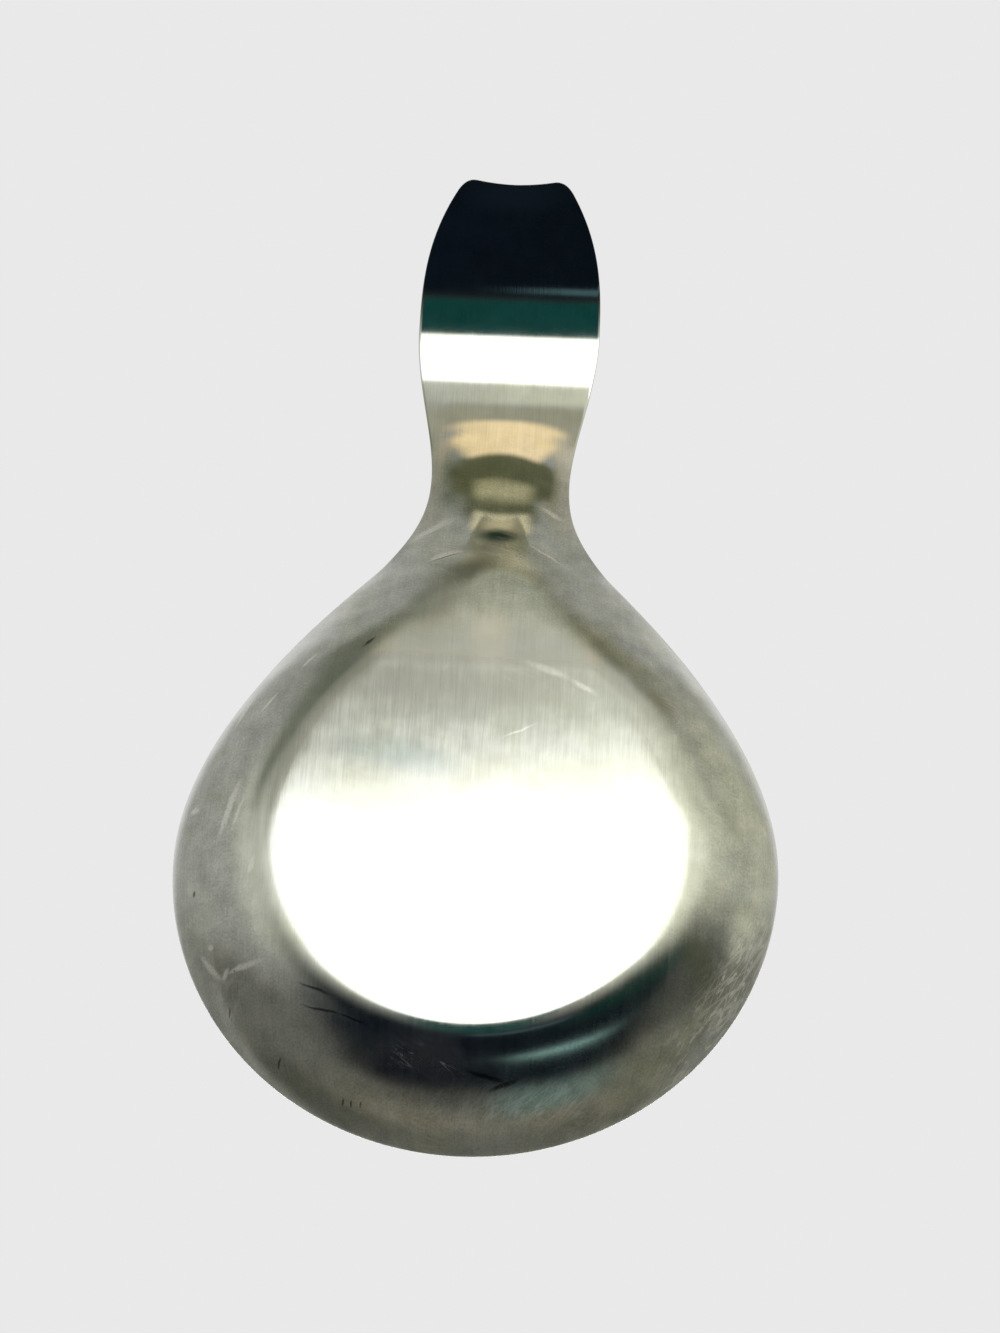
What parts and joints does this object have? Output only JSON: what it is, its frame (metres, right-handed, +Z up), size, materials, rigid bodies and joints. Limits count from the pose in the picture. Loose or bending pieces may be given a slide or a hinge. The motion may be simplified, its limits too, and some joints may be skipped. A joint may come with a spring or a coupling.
{
  "type": "spoon rest",
  "caption": "Spoon rest pressed from brushed steel sheet: a round shallow bowl with a flat base that narrows through a trough neck into an arched grip with a fish-tail tip.",
  "frame": {"origin": "on the surface that the flat base stands on, under the middle of the overall length and width", "axes": "+Z up out of the bowl, +Y from the bowl towards the tip of the grip, +X across the bowl"},
  "size_m": [0.127, 0.2428, 0.0319],
  "materials": {
    "steel": "brushed along the length, with an olive-grey patina and light wear"
  },
  "bodies": {
    "root": {"pressed_steel_body": "steel"}
  },
  "joints": []
}
